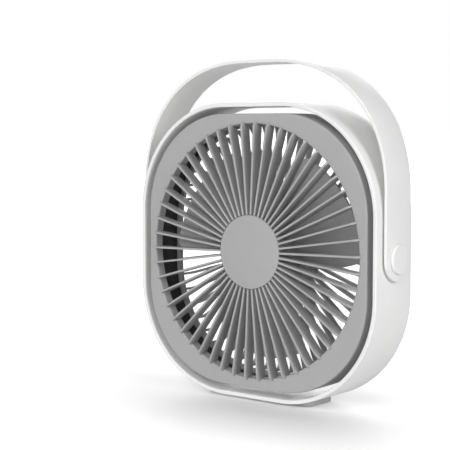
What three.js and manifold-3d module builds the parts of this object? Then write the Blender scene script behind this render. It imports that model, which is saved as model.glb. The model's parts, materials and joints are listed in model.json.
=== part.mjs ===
// Portable tilting fan: a white rounded-square hoop on a foot pad holds a grey fan head on two side pivots,
// and a strap handle swings on the same pivots.
// Millimetres, +Z up, the air leaves towards -Y, origin on the floor under the middle of the fan.

import * as THREE from 'three';
import { mergeVertices } from 'three/addons/utils/BufferGeometryUtils.js';
import Module from 'manifold-3d';

const wasm = await Module();
wasm.setup();

// ---------------------------------------------------------------- driving dimensions

const AXIS_HEIGHT = 76.5; // pivot axis and fan axis above the floor

const RING_HALF_WIDTH = 75;
const RING_HALF_HEIGHT = 75.5;
const RING_CORNER = 56.3;
const RING_WALL = 2.1;
const RING_DEPTH = 32;

const FOOT_HALF_LENGTH = 33.2;
const FOOT_HALF_WIDTH = 11.2;
const FOOT_CORNER = 4.5;
const FOOT_END_HEIGHT = 3.1;

const HEAD_INSET = 5.46; // head outline inside the ring's outer outline
const PLATE_FRONT = -15.5;
const PLATE_THICKNESS = 2;
const SKIRT_BACK = -11.6;
const SHELL_FRONT = -11.4;
const SHELL_BACK = 5;
const SHELL_WALL = 2;

const SLAT_COUNT = 50;
const SLAT_THICKNESS = 1;
const SLAT_FRONT = -17.64;
const SLAT_BACK = -11.2;
const SLAT_PHASE = THREE.MathUtils.degToRad(1.15);
const SLAT_TIP_RADIUS = 66.3;
const SLAT_STRAIGHT_RADIUS = 64.4; // the slats' front edges are straight out to here
const DISC_RADIUS = 18.8;
const DISC_SPIGOT_RADIUS = 14.3;
const DISC_SPIGOT_BACK = -13;
const HUB_RING_INNER = 14.6;
const HUB_RING_OUTER = 18.2;
const FACE_SEAT = -16.1; // the hub ring's front, which the disc rests on

const LIP_RADIUS = 65.8; // where the lip of the front opening meets the flat plate
const LIP_EDGE = 0.8; // size of its rounding
const LIP_BACK_RADIUS = 64.4;
const LIP_BACK = -9.2;
const LIP_WALL = 1.2;

const OPENING_HALF_WIDTH = 64; // rear opening, a square with very round corners
const OPENING_HALF_HEIGHT = 64.5;
const OPENING_CORNER = 55.5;
const DUCT_OUTSET = 2.2; // duct wall's inner face outside the rear opening
const DUCT_WALL = 1;
const DUCT_FRONT = -12.6;
const DUCT_BACK = 2.7;

const REAR_RIB_DEPTH = 3.8;
const REAR_RIB_THICKNESS = 1.2;
const REAR_RIB_ROOT_BACK = 14.2;
const REAR_RIB_BACK = 15.6; // the ribs' shoulder, where they turn forwards to the rim
const REAR_RIM_WIDTH = 1.6;
const REAR_RIM_FRONT = 2.9;
const REAR_PHASE = THREE.MathUtils.degToRad(1);
const POD_RADIUS = 22.3;
const POD_WALL = 1.5;
const POD_FRONT = 4.2;
const POD_BACK = REAR_RIB_ROOT_BACK + 0.4;
const POD_CENTRE_HOLE = 3.2;
const POD_COVER_BACK = 16.3;
const POD_COVER_THICKNESS = 1.5;
const POD_SCREW_OFFSET = 16.5;

const BLADE_COUNT = 3;
const BLADE_TIP_RADIUS = 56;
const BLADE_TIP_CORNER = 3;
const BLADE_ROOT_TRAILING = THREE.MathUtils.degToRad(64.7); // edges as angles from +X towards +Z
const BLADE_TIP_TRAILING = THREE.MathUtils.degToRad(61);
const BLADE_ROOT_LEADING = THREE.MathUtils.degToRad(-20.6);
const BLADE_TIP_LEADING = THREE.MathUtils.degToRad(-3.2);
const BLADE_ROOT_FRONT = -8.2;
const BLADE_TIP_FRONT = -7;
const BLADE_ROOT_RISE = 10.4; // from the trailing edge in front to the leading edge at the back
const BLADE_TIP_RISE = 8.2;
const BLADE_CAMBER = 1.1;
const BLADE_ROOT_THICKNESS = 1.6;
const BLADE_TIP_THICKNESS = 1;
const HUB_RADIUS = 17.6;
const HUB_WALL = 1.7;
const HUB_BOSS_RADIUS = 3.2;
const HUB_BACK = 2.6;
const HUB_FRONT = -10.2;

const MOTOR_RADIUS = 12.2;
const MOTOR_FRONT = -6;
const MOTOR_BACK = 3.8;
const SHAFT_RADIUS = 1;
const BEARING_RADIUS = 2.4;
const BEARING_HOLE = 2.6;
const MOTOR_SCREW_OFFSET = 7;
const MOTOR_SCREW_RADIUS = 0.7;

const STRAP_HALF_WIDTH = 77.4;
const STRAP_TOP = 97.1;
const STRAP_THICKNESS = 1.5;
const STRAP_BREADTH = 21.9;
const ARCH_RADIUS_X = 68.8;
const ARCH_RADIUS_Z = 67;
const ARCH_POWER = 2.24; // superellipse exponent of the arch's shoulders

const CAP_RADIUS = 7.4;
const CAP_FACE = 79;
const CAP_BORE = 5.2;
const COLLAR_RADIUS = 4.2;
const STRAP_WASHER_RADIUS = 9.6;
const TILT_WASHER_RADIUS = 7;
const PIN_RADIUS = 2;
const PIN_FLANGE_RADIUS = 2.8;
const PIN_FLANGE_THICKNESS = 1.2;
const PIN_BORE = 1.2;
const PIVOT_SCREW_RADIUS = 1;
const PIVOT_SCREW_HEAD = 4.9; // wider than the strap's hole, so it keeps the strap on the collar
const RUNNING_GAP = 0.2; // round a piece that turns or slides
const SEAT_GAP = 0.2; // between pieces that rest on each other

const BOARD_RADIUS = 19.4;
const BOARD_FRONT = 11.7;
const BOARD_BACK = 12.8;
const BATTERY_HALF_WIDTH = 12.6;
const BATTERY_FRONT = 7.2;
const BATTERY_BACK = 11.4;

const BUTTON_RADIUS = 6;
const BUTTON_FLANGE_RADIUS = 7; // behind the cover, so the button can't fall out
const BUTTON_FLANGE_FRONT = 13.9;
const BUTTON_FRONT = 14.4;
const SWITCH_BACK = 13.5;
const BUTTON_BACK = 17.64;
const BUTTON_HEIGHT = 4; // button centre above the fan axis
const SOCKET_HEIGHT = -11; // charging socket centre, below the fan axis
const SOCKET_HALF_WIDTH = 4.5;
const SOCKET_HALF_HEIGHT = 1.6;
const SOCKET_FRONT = 12.9;
const LIGHT_HEIGHT = 15;
const LIGHT_RADIUS = 1;

const HOUSING_SCREW_OFFSET = 52.3;
const HOUSING_SCREW_RADIUS = 1.2;
const HOUSING_SCREW_HEAD = 2.3;
const HOUSING_SCREW_TIP = -13.8;
const BOSS_RADIUS = 2.6;
const POD_SCREW_RADIUS = 1.15;
const POD_SCREW_HEAD = 2.2;
const POD_SCREW_TIP = 8;

const SMALL_SIDES = 16; // sides of small round pieces
const SCREW_SIDES = 8;

// ---------------------------------------------------------------- materials

function plastic(color, roughness) {
  return new THREE.MeshStandardMaterial({ color, roughness, metalness: 0 });
}

function metal(color, roughness) {
  return new THREE.MeshStandardMaterial({ color, roughness, metalness: 1 });
}

const whitePlastic = () => plastic(0xf2f2f0, 0.45);
const greyPlastic = () => plastic(0xa9a9a9, 0.5);
const darkPlastic = () => plastic(0x2c2d2f, 0.6);
const steel = () => metal(0xb5b8bb, 0.3);
const bronze = () => metal(0xa97c4b, 0.4);

// ---------------------------------------------------------------- geometry helpers

// Shared vertices merged, flat triangles dropped, faces turned outwards.
function closed(geometry) {
  const bare = new THREE.BufferGeometry();
  bare.setAttribute('position', geometry.getAttribute('position').clone());
  if (geometry.index) bare.setIndex(geometry.index);
  const merged = mergeVertices(bare, 1e-4);
  const position = merged.getAttribute('position');
  const index = merged.index.array;
  const kept = [];
  const a = new THREE.Vector3();
  const b = new THREE.Vector3();
  const c = new THREE.Vector3();
  let volume = 0;
  for (let i = 0; i < index.length; i += 3) {
    const [p, q, r] = [index[i], index[i + 1], index[i + 2]];
    if (p === q || q === r || r === p) continue;
    kept.push(p, q, r);
    a.fromBufferAttribute(position, p);
    b.fromBufferAttribute(position, q);
    c.fromBufferAttribute(position, r);
    volume += a.dot(b.cross(c));
  }
  merged.setIndex(volume < 0 ? kept.reverse() : kept);
  return merged;
}

function toSolid(geometry) {
  const mesh = closed(geometry);
  const vertProperties = new Float32Array(mesh.getAttribute('position').array);
  const triVerts = new Uint32Array(mesh.index.array);
  return new wasm.Manifold(new wasm.Mesh({ numProp: 3, vertProperties, triVerts }));
}

function toGeometry(manifold) {
  const mesh = manifold.getMesh();
  const geometry = new THREE.BufferGeometry();
  geometry.setAttribute('position', new THREE.BufferAttribute(new Float32Array(mesh.vertProperties), 3));
  geometry.setIndex(Array.from(mesh.triVerts));
  return geometry;
}

// The geometries joined, less the cutters.
function combine(added, cutters = []) {
  let body = toSolid(added[0]);
  for (const geometry of added.slice(1)) {
    body = body.add(toSolid(geometry));
  }
  for (const geometry of cutters) {
    body = body.subtract(toSolid(geometry));
  }
  return toGeometry(body);
}

// A shape drawn in X and Z, extruded from y = front to y = back.
function extrudeY(shape, front, back, curveSegments = 9) {
  const options = { depth: back - front, bevelEnabled: false, curveSegments };
  return new THREE.ExtrudeGeometry(shape, options).rotateX(Math.PI / 2).translate(0, back, 0);
}

// A shape drawn in X and Y, extruded from z = bottom to z = top.
function extrudeZ(shape, bottom, top, curveSegments = 9) {
  const options = { depth: top - bottom, bevelEnabled: false, curveSegments };
  return new THREE.ExtrudeGeometry(shape, options).translate(0, 0, bottom);
}

// A shape drawn in Y and Z, extruded from x = left to x = right.
function extrudeX(shape, left, right, curveSegments = 9) {
  const options = { depth: right - left, bevelEnabled: false, curveSegments };
  const turn = new THREE.Matrix4().makeBasis(
    new THREE.Vector3(0, 1, 0),
    new THREE.Vector3(0, 0, 1),
    new THREE.Vector3(1, 0, 0),
  );
  return new THREE.ExtrudeGeometry(shape, options).applyMatrix4(turn).translate(left, 0, 0);
}

// A profile of [radius, y] points turned round the fan axis.
function turned(points, sides = SMALL_SIDES) {
  const profile = points.map(([radius, y]) => new THREE.Vector2(radius, y));
  return new THREE.LatheGeometry(profile, sides);
}

// A profile of [radius, distance] points turned round the pivot axis, on one side (+1 right, -1 left).
function turnedX(points, side, sides = SMALL_SIDES) {
  const profile = points.map(([radius, distance]) => [radius, side * distance]);
  return turned(profile, sides).rotateZ(-Math.PI / 2);
}

function disc(radius, front, back) {
  return [[0, front], [radius, front], [radius, back], [0, back]];
}

function tube(inner, outer, front, back) {
  return [[inner, front], [outer, front], [outer, back], [inner, back], [inner, front]];
}

function roundedRectangle(halfWidth, halfHeight, corner, Kind = THREE.Shape) {
  const outline = new Kind();
  const x = halfWidth - corner;
  const y = halfHeight - corner;
  outline.moveTo(halfWidth, -y);
  outline.lineTo(halfWidth, y);
  outline.absarc(x, y, corner, 0, Math.PI / 2, false);
  outline.lineTo(-x, halfHeight);
  outline.absarc(-x, y, corner, Math.PI / 2, Math.PI, false);
  outline.lineTo(-halfWidth, -y);
  outline.absarc(-x, -y, corner, Math.PI, 1.5 * Math.PI, false);
  outline.lineTo(x, -halfHeight);
  outline.absarc(x, -y, corner, 1.5 * Math.PI, 2 * Math.PI, false);
  return outline;
}

// The ring's outline moved inwards by an inset.
function ringOutline(inset, Kind = THREE.Shape) {
  return roundedRectangle(RING_HALF_WIDTH - inset, RING_HALF_HEIGHT - inset, RING_CORNER - inset, Kind);
}

// The rear opening's outline moved outwards by an amount.
function openingOutline(outset, Kind = THREE.Shape) {
  const [halfWidth, halfHeight] = [OPENING_HALF_WIDTH + outset, OPENING_HALF_HEIGHT + outset];
  return roundedRectangle(halfWidth, halfHeight, OPENING_CORNER + outset, Kind);
}

// Distance from the fan axis to the rear opening's edge at an angle.
function openingRadius(angle) {
  const cos = Math.abs(Math.cos(angle));
  const sin = Math.abs(Math.sin(angle));
  const x = OPENING_HALF_WIDTH - OPENING_CORNER;
  const z = OPENING_HALF_HEIGHT - OPENING_CORNER;
  if (OPENING_HALF_WIDTH * sin < z * cos) return OPENING_HALF_WIDTH / cos;
  if (OPENING_HALF_HEIGHT * cos < x * sin) return OPENING_HALF_HEIGHT / sin;
  return x * cos + z * sin + Math.sqrt(OPENING_CORNER ** 2 - (x * sin - z * cos) ** 2);
}

// A many-sided hole whose corners line up with those of a turned piece with as many sides.
function roundHole(radius, sides = SLAT_COUNT) {
  const points = [];
  for (let i = 0; i < sides; i += 1) {
    const angle = (2 * Math.PI * i) / sides;
    points.push(new THREE.Vector2(radius * Math.sin(angle), radius * Math.cos(angle)));
  }
  return new THREE.Path(points);
}

function polygon(points) {
  return new THREE.Shape(points.map(([x, y]) => new THREE.Vector2(x, y)));
}

// Radial slats evenly spaced round the fan axis. outlineAt gives the [radius, y] points at an angle.
function radialSlats(outlineAt, thickness, phase) {
  const slats = [];
  for (let i = 0; i < SLAT_COUNT; i += 1) {
    const angle = phase + (2 * Math.PI * i) / SLAT_COUNT;
    const options = { depth: thickness, bevelEnabled: false };
    const slat = new THREE.ExtrudeGeometry(polygon(outlineAt(angle)), options);
    slats.push(slat.translate(0, 0, -thickness / 2).rotateY(-angle));
  }
  return slats;
}

// ---------------------------------------------------------------- scene graph

const fan = new THREE.Group();
const middle = new THREE.Group();
middle.position.z = AXIS_HEIGHT;
fan.add(middle);

function addPart(name, geometry, material) {
  const mesh = new THREE.Mesh(closed(geometry), material);
  mesh.name = name;
  middle.add(mesh);
}

// ---------------------------------------------------------------- frame: ring and foot

function outerRing() {
  const outline = ringOutline(0);
  outline.holes.push(ringOutline(RING_WALL, THREE.Path));
  const hoop = extrudeY(outline, -RING_DEPTH / 2, RING_DEPTH / 2);
  const boreRadius = COLLAR_RADIUS + SEAT_GAP;
  const bore = turnedX(disc(boreRadius, -RING_HALF_WIDTH - 1, RING_HALF_WIDTH + 1), 1);
  return combine([hoop], [bore]);
}

function baseFoot() {
  const plan = roundedRectangle(FOOT_HALF_LENGTH, FOOT_HALF_WIDTH, FOOT_CORNER);
  const pad = extrudeZ(plan, -AXIS_HEIGHT, -AXIS_HEIGHT + FOOT_END_HEIGHT, 4);
  const ringSpace = extrudeY(ringOutline(-SEAT_GAP), -RING_DEPTH / 2 - 1, RING_DEPTH / 2 + 1);
  return combine([pad], [ringSpace]);
}

// Bush fixed in the ring's side wall: the strap turns round it and the head's pin turns inside it.
function pivotCollar(side) {
  const inner = RING_HALF_WIDTH - RING_WALL;
  const outer = STRAP_HALF_WIDTH - 0.3;
  return turnedX(tube(PIN_RADIUS + RUNNING_GAP, COLLAR_RADIUS, inner + 0.1, outer), side);
}

function strapWasher(side) {
  const clearance = 0.15;
  const inner = RING_HALF_WIDTH + clearance;
  const outer = STRAP_HALF_WIDTH - STRAP_THICKNESS - clearance;
  return turnedX(tube(COLLAR_RADIUS + RUNNING_GAP, STRAP_WASHER_RADIUS, inner, outer), side);
}

// ---------------------------------------------------------------- handle

// One point of the arch, t from 0 at the shoulder to 90 degrees at the top.
function archPoint(t, inset) {
  const centreX = STRAP_HALF_WIDTH - ARCH_RADIUS_X;
  const centreZ = STRAP_TOP - ARCH_RADIUS_Z;
  const x = centreX + (ARCH_RADIUS_X - inset) * Math.cos(t) ** (2 / ARCH_POWER);
  const z = centreZ + (ARCH_RADIUS_Z - inset) * Math.sin(t) ** (2 / ARCH_POWER);
  return [x, z];
}

function archLine(inset, legEnd) {
  const steps = 16;
  const right = [[STRAP_HALF_WIDTH - inset, legEnd]];
  for (let i = 0; i <= steps; i += 1) {
    right.push(archPoint((i / steps) * (Math.PI / 2), inset));
  }
  const left = right.map(([x, z]) => [-x, z]).reverse();
  return [...right, ...left];
}

function handleStrap() {
  const legEnd = -STRAP_BREADTH / 2 - 1;
  const band = polygon([...archLine(0, legEnd), ...archLine(STRAP_THICKNESS, legEnd).reverse()]);
  const strip = extrudeY(band, -STRAP_BREADTH / 2 - 1, STRAP_BREADTH / 2 + 1);
  const side = new THREE.Shape();
  side.moveTo(STRAP_BREADTH / 2, STRAP_TOP + 1);
  side.lineTo(-STRAP_BREADTH / 2, STRAP_TOP + 1);
  side.lineTo(-STRAP_BREADTH / 2, 0);
  side.absarc(0, 0, STRAP_BREADTH / 2, Math.PI, 2 * Math.PI, false);
  side.lineTo(STRAP_BREADTH / 2, STRAP_TOP + 1);
  const sideBlock = extrudeX(side, -STRAP_HALF_WIDTH - 1, STRAP_HALF_WIDTH + 1);
  const trimmed = toSolid(strip).intersect(toSolid(sideBlock));
  const holeRadius = COLLAR_RADIUS + RUNNING_GAP;
  const hole = turnedX(disc(holeRadius, -STRAP_HALF_WIDTH - 1, STRAP_HALF_WIDTH + 1), 1);
  return toGeometry(trimmed.subtract(toSolid(hole)));
}

// Shallow cover over the screw, fixed to the strap's end.
function pivotCap(side) {
  const seat = STRAP_HALF_WIDTH + 0.1;
  const edge = 0.5;
  const inside = CAP_FACE - 0.7;
  const profile = [
    [CAP_BORE, seat], [CAP_RADIUS, seat], [CAP_RADIUS, CAP_FACE - edge], [CAP_RADIUS - edge, CAP_FACE],
    [0, CAP_FACE], [0, inside], [CAP_BORE, inside], [CAP_BORE, seat],
  ];
  return turnedX(profile, side, 24);
}

// ---------------------------------------------------------------- head: pivots

function pivotPin(side) {
  const flangeOuter = RING_HALF_WIDTH - HEAD_INSET - SHELL_WALL - 0.2;
  const flangeInner = flangeOuter - PIN_FLANGE_THICKNESS;
  const end = STRAP_HALF_WIDTH - 0.5;
  const boreStart = flangeOuter + 2;
  const profile = [
    [0, flangeInner], [PIN_FLANGE_RADIUS, flangeInner], [PIN_FLANGE_RADIUS, flangeOuter],
    [PIN_RADIUS, flangeOuter], [PIN_RADIUS, end], [PIN_BORE, end], [PIN_BORE, boreStart], [0, boreStart],
  ];
  return turnedX(profile, side);
}

function pivotScrew(side) {
  const tip = STRAP_HALF_WIDTH - 6;
  const headInner = STRAP_HALF_WIDTH + 0.15;
  const headOuter = headInner + 0.65;
  const profile = [
    [0, tip], [PIVOT_SCREW_RADIUS, tip], [PIVOT_SCREW_RADIUS, headInner], [PIVOT_SCREW_HEAD, headInner],
    [PIVOT_SCREW_HEAD, headOuter], [0, headOuter],
  ];
  return turnedX(profile, side);
}

function tiltWasher(side) {
  const clearance = 0.3;
  const inner = RING_HALF_WIDTH - HEAD_INSET + clearance;
  const outer = RING_HALF_WIDTH - RING_WALL - clearance;
  return turnedX(tube(PIN_RADIUS + RUNNING_GAP, TILT_WASHER_RADIUS, inner, outer), side);
}

// ---------------------------------------------------------------- head: front grille

function frontGrille() {
  const overlap = 0.5;
  const plateBack = PLATE_FRONT + PLATE_THICKNESS;
  const plateOutline = ringOutline(HEAD_INSET);
  plateOutline.holes.push(roundHole(LIP_RADIUS));
  const plate = extrudeY(plateOutline, PLATE_FRONT, plateBack);

  const skirtOutline = ringOutline(HEAD_INSET);
  skirtOutline.holes.push(ringOutline(HEAD_INSET + SHELL_WALL, THREE.Path));
  const skirt = extrudeY(skirtOutline, plateBack - overlap, SKIRT_BACK);

  const lipProfile = [
    [LIP_RADIUS, PLATE_FRONT], [LIP_RADIUS - LIP_EDGE, PLATE_FRONT + LIP_EDGE], [LIP_BACK_RADIUS, LIP_BACK],
    [LIP_BACK_RADIUS + LIP_WALL, LIP_BACK], [LIP_RADIUS, plateBack], [LIP_RADIUS, PLATE_FRONT],
  ];
  const lip = turned(lipProfile, SLAT_COUNT);

  const root = (HUB_RING_INNER + HUB_RING_OUTER) / 2;
  const discEdge = DISC_RADIUS + 0.15;
  const tipRound = SLAT_TIP_RADIUS - SLAT_STRAIGHT_RADIUS;
  const slatOutline = [
    [root, FACE_SEAT], [discEdge, FACE_SEAT], [discEdge, SLAT_FRONT], [SLAT_STRAIGHT_RADIUS, SLAT_FRONT],
    [SLAT_TIP_RADIUS - tipRound * 0.3, SLAT_FRONT + tipRound * 0.3], [SLAT_TIP_RADIUS, SLAT_FRONT + tipRound],
    [SLAT_TIP_RADIUS, PLATE_FRONT + 0.3], [LIP_BACK_RADIUS + overlap, SLAT_BACK], [root, SLAT_BACK],
  ];
  const slats = radialSlats(() => slatOutline, SLAT_THICKNESS, SLAT_PHASE);
  const hubRing = turned(tube(HUB_RING_INNER, HUB_RING_OUTER, FACE_SEAT, SLAT_BACK), SLAT_COUNT);

  const bosses = [];
  const bores = [];
  const boss = disc(BOSS_RADIUS, plateBack - overlap, SKIRT_BACK);
  const bore = disc(HOUSING_SCREW_RADIUS + 0.25, HOUSING_SCREW_TIP - 0.3, SHELL_FRONT);
  for (const [x, z] of housingScrewPlaces()) {
    bosses.push(turned(boss, SCREW_SIDES).translate(x, 0, z));
    bores.push(turned(bore, SCREW_SIDES).translate(x, 0, z));
  }
  return combine([plate, skirt, lip, ...slats, hubRing, ...bosses], bores);
}

// Plain disc that closes the middle of the front grille.
function faceDisc() {
  const back = FACE_SEAT - 0.15;
  const profile = [
    [0, SLAT_FRONT], [DISC_RADIUS, SLAT_FRONT], [DISC_RADIUS, back], [DISC_SPIGOT_RADIUS, back],
    [DISC_SPIGOT_RADIUS, DISC_SPIGOT_BACK], [0, DISC_SPIGOT_BACK],
  ];
  return turned(profile, 40);
}

// ---------------------------------------------------------------- head: shell, duct and rear grille

function housingScrewPlaces() {
  const places = [];
  for (const x of [-HOUSING_SCREW_OFFSET, HOUSING_SCREW_OFFSET]) {
    for (const z of [-HOUSING_SCREW_OFFSET, HOUSING_SCREW_OFFSET]) {
      places.push([x, z]);
    }
  }
  return places;
}

function headShell() {
  const wallOutline = ringOutline(HEAD_INSET);
  wallOutline.holes.push(ringOutline(HEAD_INSET + SHELL_WALL, THREE.Path));
  const wall = extrudeY(wallOutline, SHELL_FRONT, SHELL_BACK);

  const backOutline = ringOutline(HEAD_INSET);
  backOutline.holes.push(openingOutline(REAR_RIM_WIDTH + SEAT_GAP, THREE.Path));
  const backPlate = extrudeY(backOutline, SHELL_BACK - SHELL_WALL, SHELL_BACK);

  const pinHole = turnedX(disc(PIN_RADIUS + SEAT_GAP, -RING_HALF_WIDTH, RING_HALF_WIDTH), 1);
  const bosses = [];
  const cutters = [pinHole];
  const beyond = SHELL_BACK + 1;
  const boss = disc(BOSS_RADIUS, SHELL_FRONT, SHELL_BACK - 1);
  const shank = disc(HOUSING_SCREW_RADIUS + 0.3, SHELL_FRONT - 1, beyond);
  const recess = disc(HOUSING_SCREW_HEAD + SEAT_GAP, SHELL_BACK - 0.9, beyond);
  for (const [x, z] of housingScrewPlaces()) {
    bosses.push(turned(boss, SCREW_SIDES).translate(x, 0, z));
    cutters.push(turned(shank, SCREW_SIDES).translate(x, 0, z));
    cutters.push(turned(recess, SCREW_SIDES).translate(x, 0, z));
  }
  return combine([wall, backPlate, ...bosses], cutters);
}

// A screw along Y, its head at the back with a round drive recess.
function screw(tip, top, shankRadius, headRadius, headHeight) {
  const driveRadius = 0.27 * headRadius;
  const driveFloor = top - 0.55 * headHeight;
  const profile = [
    [0, tip], [shankRadius, tip], [shankRadius, top - headHeight], [headRadius, top - headHeight],
    [headRadius, top], [driveRadius, top], [driveRadius, driveFloor], [0, driveFloor],
  ];
  return turned(profile, SCREW_SIDES);
}

function housingScrew() {
  return screw(HOUSING_SCREW_TIP, SHELL_BACK - 0.1, HOUSING_SCREW_RADIUS, HOUSING_SCREW_HEAD, 0.7);
}

// Thin wall round the impeller, inside the shell, with holes for the flanges of the pivot pins.
function ductRing() {
  const outline = openingOutline(DUCT_OUTSET + DUCT_WALL);
  outline.holes.push(openingOutline(DUCT_OUTSET, THREE.Path));
  const wall = extrudeY(outline, DUCT_FRONT, DUCT_BACK);
  const flangeHole = turnedX(disc(PIN_FLANGE_RADIUS + 0.3, -RING_HALF_WIDTH, RING_HALF_WIDTH), 1);
  return combine([wall], [flangeHole]);
}

// One rear rib: nearly flat from the pod to its shoulder, then forwards into the rim.
function rearRibOutline(angle) {
  const root = POD_RADIUS - POD_WALL / 2;
  const footFront = REAR_RIM_FRONT + 0.3;
  const footInner = openingRadius(angle) + 0.1;
  const footOuter = openingRadius(angle) + REAR_RIM_WIDTH - 0.4;
  const shoulderFront = REAR_RIB_BACK - REAR_RIB_DEPTH;
  const bend = 3.7; // size of the shoulder's rounding
  return [
    [root, REAR_RIB_ROOT_BACK - REAR_RIB_DEPTH], [footInner - bend, shoulderFront],
    [footInner - bend / 5, shoulderFront - bend * 0.65], [footInner, footFront], [footOuter, footFront],
    [footOuter, REAR_RIB_BACK - bend], [footOuter - bend * 0.3, REAR_RIB_BACK - bend * 0.3],
    [footOuter - bend, REAR_RIB_BACK], [root, REAR_RIB_ROOT_BACK],
  ];
}

function rearGrille() {
  const rimOutline = openingOutline(REAR_RIM_WIDTH);
  rimOutline.holes.push(openingOutline(0, THREE.Path));
  const rim = extrudeY(rimOutline, REAR_RIM_FRONT, SHELL_BACK + 0.5);
  const ribs = radialSlats(rearRibOutline, REAR_RIB_THICKNESS, REAR_PHASE);
  const innerRadius = POD_RADIUS - POD_WALL;
  const podFloor = POD_FRONT + POD_WALL;
  const podProfile = [
    [POD_CENTRE_HOLE, POD_FRONT], [POD_RADIUS, POD_FRONT], [POD_RADIUS, POD_BACK],
    [innerRadius, POD_BACK], [innerRadius, podFloor], [POD_CENTRE_HOLE, podFloor],
    [POD_CENTRE_HOLE, POD_FRONT],
  ];
  const pod = turned(podProfile, SLAT_COUNT);
  const screwBosses = [];
  const motorScrewHoles = [];
  const boss = tube(POD_SCREW_RADIUS + SEAT_GAP, 2.6, POD_FRONT + 1, POD_BACK - 1);
  const motorHole = disc(MOTOR_SCREW_RADIUS + SEAT_GAP, POD_FRONT - 1, podFloor + 1);
  for (const side of [-1, 1]) {
    screwBosses.push(turned(boss, SCREW_SIDES).translate(side * POD_SCREW_OFFSET, 0, 0));
    motorScrewHoles.push(turned(motorHole, SCREW_SIDES).translate(side * MOTOR_SCREW_OFFSET, 0, 0));
  }
  return combine([rim, ...ribs, pod, ...screwBosses], motorScrewHoles);
}

// ---------------------------------------------------------------- head: rear pod and electronics

function podCover() {
  const back = POD_COVER_BACK;
  const front = back - POD_COVER_THICKNESS;
  const edge = 0.6;
  const coverProfile = [
    [0, front], [POD_RADIUS, front], [POD_RADIUS, back - edge], [POD_RADIUS - edge, back], [0, back],
  ];
  const cover = turned(coverProfile, 36);
  const through = (radius) => disc(radius, front - 1, back + 1);
  const buttonHole = turned(through(BUTTON_RADIUS + RUNNING_GAP), 24).translate(0, 0, BUTTON_HEIGHT);
  const socketOutline = socketShape(0.3);
  const socketHole = extrudeY(socketOutline, front - 1, back + 1, 2).translate(0, 0, SOCKET_HEIGHT);
  const lightHole = turned(through(LIGHT_RADIUS + SEAT_GAP), SCREW_SIDES).translate(0, 0, LIGHT_HEIGHT);
  const cutters = [buttonHole, socketHole, lightHole];
  const recess = disc(POD_SCREW_HEAD + SEAT_GAP, back - 0.8, back + 1);
  for (const x of [-POD_SCREW_OFFSET, POD_SCREW_OFFSET]) {
    cutters.push(turned(through(POD_SCREW_RADIUS + 0.25), SCREW_SIDES).translate(x, 0, 0));
    cutters.push(turned(recess, SCREW_SIDES).translate(x, 0, 0));
  }
  return combine([cover], cutters);
}

function podScrew() {
  return screw(POD_SCREW_TIP, POD_COVER_BACK - 0.1, POD_SCREW_RADIUS, POD_SCREW_HEAD, 0.6);
}

function circuitBoard() {
  const board = turned(disc(BOARD_RADIUS, BOARD_FRONT, BOARD_BACK), 24);
  const bossSpace = disc(2.9, BOARD_FRONT - 1, BOARD_BACK + 1);
  const clearances = [];
  for (const x of [-POD_SCREW_OFFSET, POD_SCREW_OFFSET]) {
    clearances.push(turned(bossSpace, SCREW_SIDES).translate(x, 0, 0));
  }
  return combine([board], clearances);
}

function batteryCell() {
  const outline = roundedRectangle(BATTERY_HALF_WIDTH, BATTERY_HALF_WIDTH, 1.5);
  return extrudeY(outline, BATTERY_FRONT, BATTERY_BACK, 3);
}

// The charging socket's outline, grown by an amount.
function socketShape(grown, Kind = THREE.Shape) {
  const corner = SOCKET_HALF_HEIGHT - 0.1 + grown;
  return roundedRectangle(SOCKET_HALF_WIDTH + grown, SOCKET_HALF_HEIGHT + grown, corner, Kind);
}

// Metal shell of the charging socket, open at the back.
function usbSocket() {
  const wall = 0.4;
  const outline = socketShape(0);
  outline.holes.push(socketShape(-wall, THREE.Path));
  const shell = extrudeY(outline, SOCKET_FRONT, POD_COVER_BACK - 0.1, 2);
  const floorPlate = extrudeY(socketShape(-wall / 2), SOCKET_FRONT, SOCKET_FRONT + 0.5, 2);
  const tongueOutline = roundedRectangle(3.3, 0.35, 0.2);
  const tongue = extrudeY(tongueOutline, SOCKET_FRONT + 0.3, POD_COVER_BACK - 0.8, 1);
  return combine([shell, floorPlate, tongue]).translate(0, 0, SOCKET_HEIGHT);
}

function tactSwitch() {
  const body = extrudeY(roundedRectangle(3, 3, 0.5), BOARD_BACK + 0.1, SWITCH_BACK, 2);
  return body.translate(0, 0, BUTTON_HEIGHT);
}

function powerButton() {
  const edge = 0.6;
  const skirtRadius = 4.6;
  const flangeBack = POD_COVER_BACK - POD_COVER_THICKNESS - RUNNING_GAP;
  const profile = [
    [0, BUTTON_FRONT], [skirtRadius, BUTTON_FRONT], [skirtRadius, BUTTON_FLANGE_FRONT],
    [BUTTON_FLANGE_RADIUS, BUTTON_FLANGE_FRONT], [BUTTON_FLANGE_RADIUS, flangeBack],
    [BUTTON_RADIUS, flangeBack], [BUTTON_RADIUS, BUTTON_BACK - edge], [BUTTON_RADIUS - edge, BUTTON_BACK],
    [0, BUTTON_BACK],
  ];
  return turned(profile, 24).translate(0, 0, BUTTON_HEIGHT);
}

function indicatorLight() {
  const light = disc(LIGHT_RADIUS, BOARD_BACK + 0.2, POD_COVER_BACK - 0.1);
  return turned(light, SCREW_SIDES).translate(0, 0, LIGHT_HEIGHT);
}

// ---------------------------------------------------------------- motor and impeller

function motorCan() {
  const inner = MOTOR_RADIUS - 0.7;
  const floor = MOTOR_FRONT + 0.8;
  const profile = [
    [BEARING_HOLE, MOTOR_FRONT], [MOTOR_RADIUS, MOTOR_FRONT], [MOTOR_RADIUS, MOTOR_BACK],
    [inner, MOTOR_BACK], [inner, floor], [BEARING_HOLE, floor], [BEARING_HOLE, MOTOR_FRONT],
  ];
  return turned(profile, 24);
}

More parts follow.
